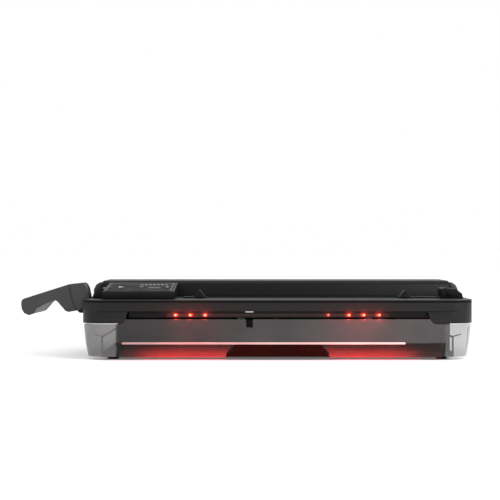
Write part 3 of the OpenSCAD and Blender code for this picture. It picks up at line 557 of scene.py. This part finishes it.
def door_point(kind, side, t, z):
    """A point of the outer face at height z: on a wing, a corner or the front."""
    side_in = between(z / MM, [(h, s) for h, s, _ in INSETS]) * MM
    front_in = between(z / MM, [(h, f) for h, _, f in INSETS]) * MM
    half = half_w - side_in
    front = front_y + front_in
    if kind == "wing":
        return side * half, DOOR_REAR + (front + DOOR_CORNER - DOOR_REAR) * t
    if kind == "corner":
        a = t * math.pi / 2
        x = side * (half - DOOR_CORNER + DOOR_CORNER * math.cos(a))
        return x, front + DOOR_CORNER - DOOR_CORNER * math.sin(a)
    x = t * (half - DOOR_CORNER) / (half_w - DOOR_CORNER)
    return x, front + hand_recess(x, z)


def door_columns():
    """Where the door's columns of points stand, from its left wing round to its right one."""
    flat = half_w - DOOR_CORNER
    turn = [i / 16 for i in range(17)]
    coarse = {i * 6 * MM for i in range(-46, 47)}
    across_recess = {i * MM for i in range(-95, 96)}
    at_steps = {s * v * MM for s in (-1, 1) for v, _ in TOP_STEPS[1:-1]}
    xs = coarse | across_recess | at_steps
    for edge in (TAB_X - TAB_HALF, TAB_X + TAB_HALF):
        xs = {x for x in xs if abs(x - edge) > 0.3 * MM} | {edge - 0.05 * MM, edge + 0.05 * MM}
    columns = [("wing", -1, i / 4) for i in range(4)]
    columns += [("corner", -1, t) for t in turn]
    columns += [("front", 0, x) for x in sorted(xs) if abs(x) < flat - 1 * MM]
    columns += [("corner", 1, t) for t in reversed(turn)]
    columns += [("wing", 1, i / 4) for i in range(3, -1, -1)]
    return columns


def column_top(kind, side, t):
    """The door's top edge: stepped, cut away for the tab, and clear of the deck as the door swings."""
    x, y = door_point(kind, side, t, 50 * MM)
    top = between(abs(x) / MM, TOP_STEPS) * MM
    if kind == "front" and abs(t - TAB_X) < TAB_HALF:
        top = TAB_Z
    if y > HINGE_Y:
        top = min(top, HINGE_Z + math.sqrt(SWEEP_R ** 2 - (y - HINGE_Y) ** 2))
    return top


def build_door():
    """The smoky door: its outer face, thickened inwards."""
    lower = [DOOR_LOW + (DOOR_CREASE - DOOR_LOW) * share for share in LOWER_SHARES]
    bm = bmesh.new()
    grid = []
    for kind, side, t in door_columns():
        top = column_top(kind, side, t)
        heights = lower + [DOOR_CREASE + (top - DOOR_CREASE) * share for share in UPPER_SHARES]
        row = []
        for z in heights:
            x, y = door_point(kind, side, t, z)
            row.append(bm.verts.new((center_x + x, y, z)))
        grid.append(row)
    skin(bm, grid, closed=False)
    bmesh.ops.recalc_face_normals(bm, faces=bm.faces)
    door = from_bmesh("clear_door", bm, "smoke_clear", "door")
    thick = door.modifiers.new("thick", "SOLIDIFY")
    thick.thickness = DOOR_THICK
    thick.offset = 1.0 if door.data.polygons[len(door.data.polygons) // 2].normal.y > 0 else -1.0
    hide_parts("front_door")


def lathe_x(bm, y, z, x0, x1, profile, steps=40):
    """A turned form about an axis along X. The profile is a list of share of length and radius."""
    rings = []
    for share, r in profile:
        x = x0 + (x1 - x0) * share
        rings.append([bm.verts.new((x, y + r * math.cos(2 * math.pi * i / steps),
                                    z + r * math.sin(2 * math.pi * i / steps))) for i in range(steps)])
    skin(bm, rings)
    cap(bm, rings)


def build_door_knuckles():
    """The door's two hinge knuckles, each with the web that joins it to the door."""
    bm = bmesh.new()
    place = 274.7 * MM
    half = 4 * MM
    barrel = [(0, 4.2 * MM), (0.1, 5 * MM), (0.9, 5 * MM), (1, 4.2 * MM)]
    for side in (-1, 1):
        mid = center_x + side * place
        lathe_x(bm, HINGE_Y, HINGE_Z, mid - half, mid + half, barrel)
        box_between(bm, (mid - half, front_y + 9.4 * MM, HINGE_Z - 3 * MM),
                    (mid + half, HINGE_Y, HINGE_Z + 5 * MM))
    bmesh.ops.recalc_face_normals(bm, faces=bm.faces)
    from_bmesh("door_knuckles", bm, "smoke_clear", "door", smooth=False)


def build_crease_highlight_bead():
    """A slim bead, taller than it is deep, along the door's crease; its pale colour is a painted highlight of
    the crease.
    """
    bm = bmesh.new()
    rings = []
    sides = 8
    bead_deep = 0.9 * MM
    bead_high = 1.9 * MM
    left = -253 * MM
    right = 207 * MM
    end = 1.2 * MM
    y = front_y + 0.95 * MM
    for x, size in ((left, 0.4), (left + end, 1.0), (right - end, 1.0), (right, 0.4)):
        turns = [2 * math.pi * i / sides for i in range(sides)]
        rings.append([bm.verts.new((center_x + x, y + bead_deep * size * math.cos(a),
                                    DOOR_CREASE + bead_high * size * math.sin(a))) for a in turns])
    skin(bm, rings)
    cap(bm, rings)
    bmesh.ops.recalc_face_normals(bm, faces=bm.faces)
    from_bmesh("crease_highlight_bead", bm, "crease_painted_highlight", "door")


build_door()
build_door_knuckles()
build_crease_highlight_bead()


# ---------------------------------------------------------------- status lights and the red glow

LED_X = [-166, -142, -118, 82, 116, 140, 165]
DIM_LED = 3
LED_Z = 73.5 * MM
LENS_R = 1.9 * MM
LED_COLOUR = (1.0, 0.05, 0.03)
GUIDE_COLOUR = (1.0, 0.05, 0.045)
band_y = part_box("status_light_bar")[0].y


def build_lenses():
    """Domed red lenses over the status lights; the fourth one is dim."""
    for dim in (False, True):
        bm = bmesh.new()
        for i, x in enumerate(LED_X):
            if (i == DIM_LED) != dim:
                continue
            made = bmesh.ops.create_uvsphere(bm, u_segments=24, v_segments=12, radius=LENS_R)
            for v in made["verts"]:
                y = band_y + 0.1 * MM + v.co.y * 0.55
                v.co = Vector((center_x + x * MM + v.co.x, y, LED_Z + v.co.z * 0.85))
        from_bmesh("dim_lens" if dim else "status_lenses", bm, "led_dim" if dim else "led_bright", "housing")


def add_light(name, kind, place, power, colour=(1, 1, 1)):
    """A light of a kind, at a place."""
    data = bpy.data.lights.new(name, kind)
    data.energy = power
    data.color = colour
    light = bpy.data.objects.new(name, data)
    light.location = place
    bpy.context.scene.collection.objects.link(light)
    return light


def glow(name, place, power, radius=4 * MM, mirrored=True):
    """A red point light; one that isn't mirrored leaves no spot on glossy surfaces."""
    light = add_light(name, "POINT", place, power, LED_COLOUR)
    light.data.shadow_soft_size = radius
    light.visible_glossy = mirrored


def strip(name, place, size, power):
    """A long red area light that shines backwards and up."""
    light = add_light(name, "AREA", place, power, GUIDE_COLOUR)
    light.data.shape = "RECTANGLE"
    light.data.size, light.data.size_y = size
    light.rotation_euler = (math.radians(130), 0, 0)


def area(name, place, aim, size, power):
    """A square soft light at a place, turned to its aim."""
    light = add_light(name, "AREA", place, power)
    light.data.size = size
    light.rotation_euler = (Vector(aim) - Vector(place)).to_track_quat("-Z", "Y").to_euler()


def build_glow():
    """Red light from the status lights on the lip and the door, and from two long red lights that shine on
    the dust ramp.
    """
    for i, x in enumerate(LED_X):
        power = 0.010 if i == DIM_LED else 0.045
        glow(f"led_glow_{i}", (center_x + x * MM, front_y - 7 * MM, LED_Z), power)
    for i, x in enumerate((-142, 132)):
        place = (center_x + x * MM, front_y - 45 * MM, 52 * MM)
        glow(f"door_glow_{i}", place, 0.16, radius=20 * MM, mirrored=False)
    for name, x, width in (("left", -158, 140), ("right", 163, 146)):
        strip(name + "_guide_glow", (center_x + x * MM, -122 * MM, 9 * MM), (width * MM, 2 * MM), 0.16)


def build_glow_paint_sheets():
    """Two thin sheets over the sill and the dust ramp, either side of the open bay, that carry the painted
    red glow on the ramp.
    """
    sill_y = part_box("base_pan")[0].y
    # up the sill, over it, up the ramp and over its top: distance behind the sill's face, and height
    line = [(-0.3, 4.6), (-0.3, 13.3), (2.2, 13.4), (15.9, 27.3), (19, 27.4)]
    bay_half = 84
    bay_taper = 15
    ramp_foot = 12.5
    ramp_rise = 14.5
    steps = 24
    for name, side, far in (("left", -1, 254), ("right", 1, 266)):
        bm = bmesh.new()
        columns = []
        for k in range(steps + 1):
            row = []
            for y, z in line:
                inner = bay_half - bay_taper * max(0.0, min(1.0, (z - ramp_foot) / ramp_rise))
                x = side * (inner + (far - inner) * k / steps)
                row.append(bm.verts.new((center_x + x * MM, sill_y + y * MM, z * MM)))
            columns.append(row)
        skin(bm, columns, closed=False)
        bmesh.ops.recalc_face_normals(bm, faces=bm.faces)
        plate = from_bmesh(name + "_glow_paint_sheet", bm, "guide_" + name, "housing", smooth=False)
        thick = plate.modifiers.new("thick", "SOLIDIFY")
        thick.thickness = 0.25 * MM
        thick.offset = 0.0


def build_latch_plate():
    """The small steel catch above the door's tab."""
    bm = bmesh.new()
    x = center_x + TAB_X
    half = 6.5 * MM
    box_between(bm, (x - half, front_y + 0.8 * MM, 78.2 * MM), (x + half, front_y + 5.9 * MM, 79.8 * MM),
                edge=0.3 * MM)
    from_bmesh("latch_plate", bm, "latch_steel", "housing", smooth=False)


def deck_outline(inset):
    """The deck's plan, as points that run round it."""
    front_r = 38 * MM
    rear_r = 20 * MM
    steps = 16
    corners = [
        (deck_low.x, deck_low.y, front_r, 180), (deck_high.x, deck_low.y, front_r, 270),
        (deck_high.x, deck_high.y, rear_r, 0), (deck_low.x, deck_high.y, rear_r, 90),
    ]
    points = []
    for x, y, r, start in corners:
        cx = x + (r if x < center_x else -r)
        cy = y + (r if y < 0 else -r)
        for i in range(steps + 1):
            a = math.radians(start + 90 * i / steps)
            points.append((cx + (r - inset) * math.cos(a), cy + (r - inset) * math.sin(a)))
    return points


def build_deck_shade_bead():
    """A near-black bead in the rounding of the deck's top edge, just above the parting groove: a painted
    shade line under the top edge.
    """
    bm = bmesh.new()
    sides = 6
    seam_r = 0.9 * MM
    rings = []
    seam_z = deck_z - 1.0 * MM
    outline = deck_outline(0.95 * MM)
    count = len(outline)
    for i, (x, y) in enumerate(outline):
        px, py = outline[i - 1]
        nx, ny = outline[(i + 1) % count]
        along = Vector((nx - px, ny - py, 0)).normalized()
        out = Vector((along.y, -along.x, 0))
        ring = []
        for k in range(sides):
            a = 2 * math.pi * k / sides
            up = Vector((0, 0, seam_r * math.sin(a)))
            ring.append(bm.verts.new(Vector((x, y, seam_z)) + out * (seam_r * math.cos(a)) + up))
        rings.append(ring)
    skin(bm, rings + rings[:1])
    bmesh.ops.recalc_face_normals(bm, faces=bm.faces)
    from_bmesh("deck_shade_bead", bm, "seam_shade_black", "housing")


def build_rear_screws():
    """Countersunk screws along the rear panel, each with a cross recess."""
    low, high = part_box("rear_panel")
    bm = bmesh.new()
    head_r = 3.2 * MM
    proud = 0.7 * MM
    slot_long = 2.1 * MM
    slot_half = 0.35 * MM
    z = high.z - 8 * MM
    top = high.y + proud
    turns = [math.pi * i / 12 for i in range(24)]
    for share in (0.03, 0.27, 0.5, 0.73, 0.88):
        x = low.x + (high.x - low.x) * share
        rings = []
        for r, y in ((head_r, high.y), (head_r, high.y + proud * 0.5), (head_r * 0.8, top)):
            rings.append([bm.verts.new((x + r * math.cos(a), y, z + r * math.sin(a))) for a in turns])
        skin(bm, rings)
        cap(bm, rings)
        for wide, tall in ((slot_long, slot_half), (slot_half, slot_long)):
            box_between(bm, (x - wide, top - 0.1 * MM, z - tall), (x + wide, top + 0.05 * MM, z + tall))
    bmesh.ops.recalc_face_normals(bm, faces=bm.faces)
    from_bmesh("rear_screws", bm, "motor_metal", "housing", smooth=False)


build_lenses()
build_glow()
build_rear_screws()
build_glow_paint_sheets()
build_latch_plate()
build_deck_shade_bead()


# ---------------------------------------------------------------- the control panel's printed marks

PANEL_TILT = math.radians(5.6)
NOSE = Vector((0, -104 * MM, 111 * MM))
KEY_Y = 47 * MM
KEY_X = {"start": -262 * MM, "minus": -228 * MM, "plus": -184 * MM}
PANEL_X0 = -284 * MM
PANEL_X1 = -174 * MM
PANEL_Y0 = 3 * MM
PANEL_Y1 = 107 * MM
# heights of the printed surfaces above the panel's own plane
KEY_TOP = 1.1 * MM
PANEL_TOP = 0.3 * MM


def on_panel(x, y, z):
    """A point of the tilted panel's own frame, in the shared frame."""
    c, s = math.cos(PANEL_TILT), math.sin(PANEL_TILT)
    return Vector((center_x + x, NOSE.y + y * c - z * s, NOSE.z + y * s + z * c))


def print_outline(bm, outline, height, thick=0.12 * MM):
    """A flat printed mark on the panel, from its outline, a hair above the surface."""
    top = [bm.verts.new(on_panel(x, y, height + thick)) for x, y in outline]
    low = [bm.verts.new(on_panel(x, y, height - thick)) for x, y in outline]
    bm.faces.new(top)
    bm.faces.new(list(reversed(low)))
    count = len(outline)
    for i in range(count):
        j = (i + 1) % count
        bm.faces.new((low[i], low[j], top[j], top[i]))


def bar(x0, y0, x1, y1):
    """The outline of an upright bar between two corners."""
    return [(x0, y0), (x1, y0), (x1, y1), (x0, y1)]


def build_marks():
    """The signs on the three keys, the panel's outline with its wider right side, and the row of dashes."""
    arm = 3.2 * MM
    stroke = 0.7 * MM
    level = bar(-arm, -stroke, arm, stroke)
    marks = {
        "start": [[(-4.2 * MM, -4.3 * MM), (5.2 * MM, 0), (-4.2 * MM, 4.3 * MM)]],
        "minus": [level],
        "plus": [level, bar(-stroke, stroke, stroke, arm), bar(-stroke, -arm, stroke, -stroke)],
    }
    for key, shapes in marks.items():
        bm = bmesh.new()
        for shape in shapes:
            print_outline(bm, [(KEY_X[key] + x, KEY_Y + y) for x, y in shape], KEY_TOP)
        bmesh.ops.recalc_face_normals(bm, faces=bm.faces)
        from_bmesh(key + "_mark", bm, "print_white", body_of[key + "_button"], smooth=False)
    bm = bmesh.new()
    line = 0.9 * MM
    inset = 1.2 * MM
    x0, x1 = PANEL_X0 + inset, PANEL_X1 - inset
    y0, y1 = PANEL_Y0 + inset, PANEL_Y1 - inset
    frame_bars = (bar(x0, y0, x1, y0 + line), bar(x0, y1 - line, x1, y1),
                  bar(x0, y0 + line, x0 + line, y1 - line), bar(x1 - 3 * line, y0 + line, x1, y1 - line))
    for shape in frame_bars:
        print_outline(bm, shape, PANEL_TOP)
    bmesh.ops.recalc_face_normals(bm, faces=bm.faces)
    from_bmesh("panel_outline", bm, "print_grey", "housing", smooth=False)
    bm = bmesh.new()
    dash_x = -232 * MM
    dash_pitch = 7 * MM
    dash_long = 4.4 * MM
    for i in range(7):
        x = dash_x + i * dash_pitch
        print_outline(bm, bar(x, 82 * MM, x + dash_long, 84.5 * MM), PANEL_TOP)
    bmesh.ops.recalc_face_normals(bm, faces=bm.faces)
    from_bmesh("level_dashes", bm, "print_white", "housing", smooth=False)


build_marks()


# ---------------------------------------------------------------- floor, light and camera


def studio():
    """A plain white floor, an even white world and two soft lights."""
    floor = bpy.data.meshes.new("floor")
    size = 30.0
    corners = [(-size, -size, 0), (size, -size, 0), (size, size, 0), (-size, size, 0)]
    floor.from_pydata(corners, [], [(0, 1, 2, 3)])
    plane = bpy.data.objects.new("floor", floor)
    bpy.context.scene.collection.objects.link(plane)
    mat, _, bsdf = shader("floor_white")
    bsdf.inputs["Base Color"].default_value = (0.88, 0.88, 0.88, 1)
    bsdf.inputs["Roughness"].default_value = 0.7
    bsdf.inputs["Emission Color"].default_value = (1, 1, 1, 1)
    bsdf.inputs["Emission Strength"].default_value = 0.13
    floor.materials.append(mat)
    world = bpy.data.worlds.new("studio")
    bpy.context.scene.world = world
    world.use_nodes = True
    sky = world.node_tree.nodes["Background"]
    sky.inputs["Color"].default_value = (1, 1, 1, 1)
    sky.inputs["Strength"].default_value = 1.0
    area("key_light", (1.5, -1.25, 1.2), (0.15, 0, 0.08), 1.1, 40)
    area("left_light", (-1.5, -1.0, 0.9), (-0.1, 0, 0.1), 1.0, 7)
    bpy.context.scene.view_settings.view_transform = "Standard"


def camera():
    """Level, a little left of the deck's centre, about two metres in front of it."""
    left_by = 45 * MM
    distance = 2.05
    height = 0.184
    data = bpy.data.cameras.new("camera")
    data.sensor_width = 36
    data.lens = 91.2
    data.shift_y = -0.006
    view = bpy.data.objects.new("camera", data)
    view.location = (center_x - left_by, front_y - distance, height)
    view.rotation_euler = (math.radians(90), 0, 0)
    bpy.context.scene.collection.objects.link(view)
    bpy.context.scene.camera = view


studio()
camera()
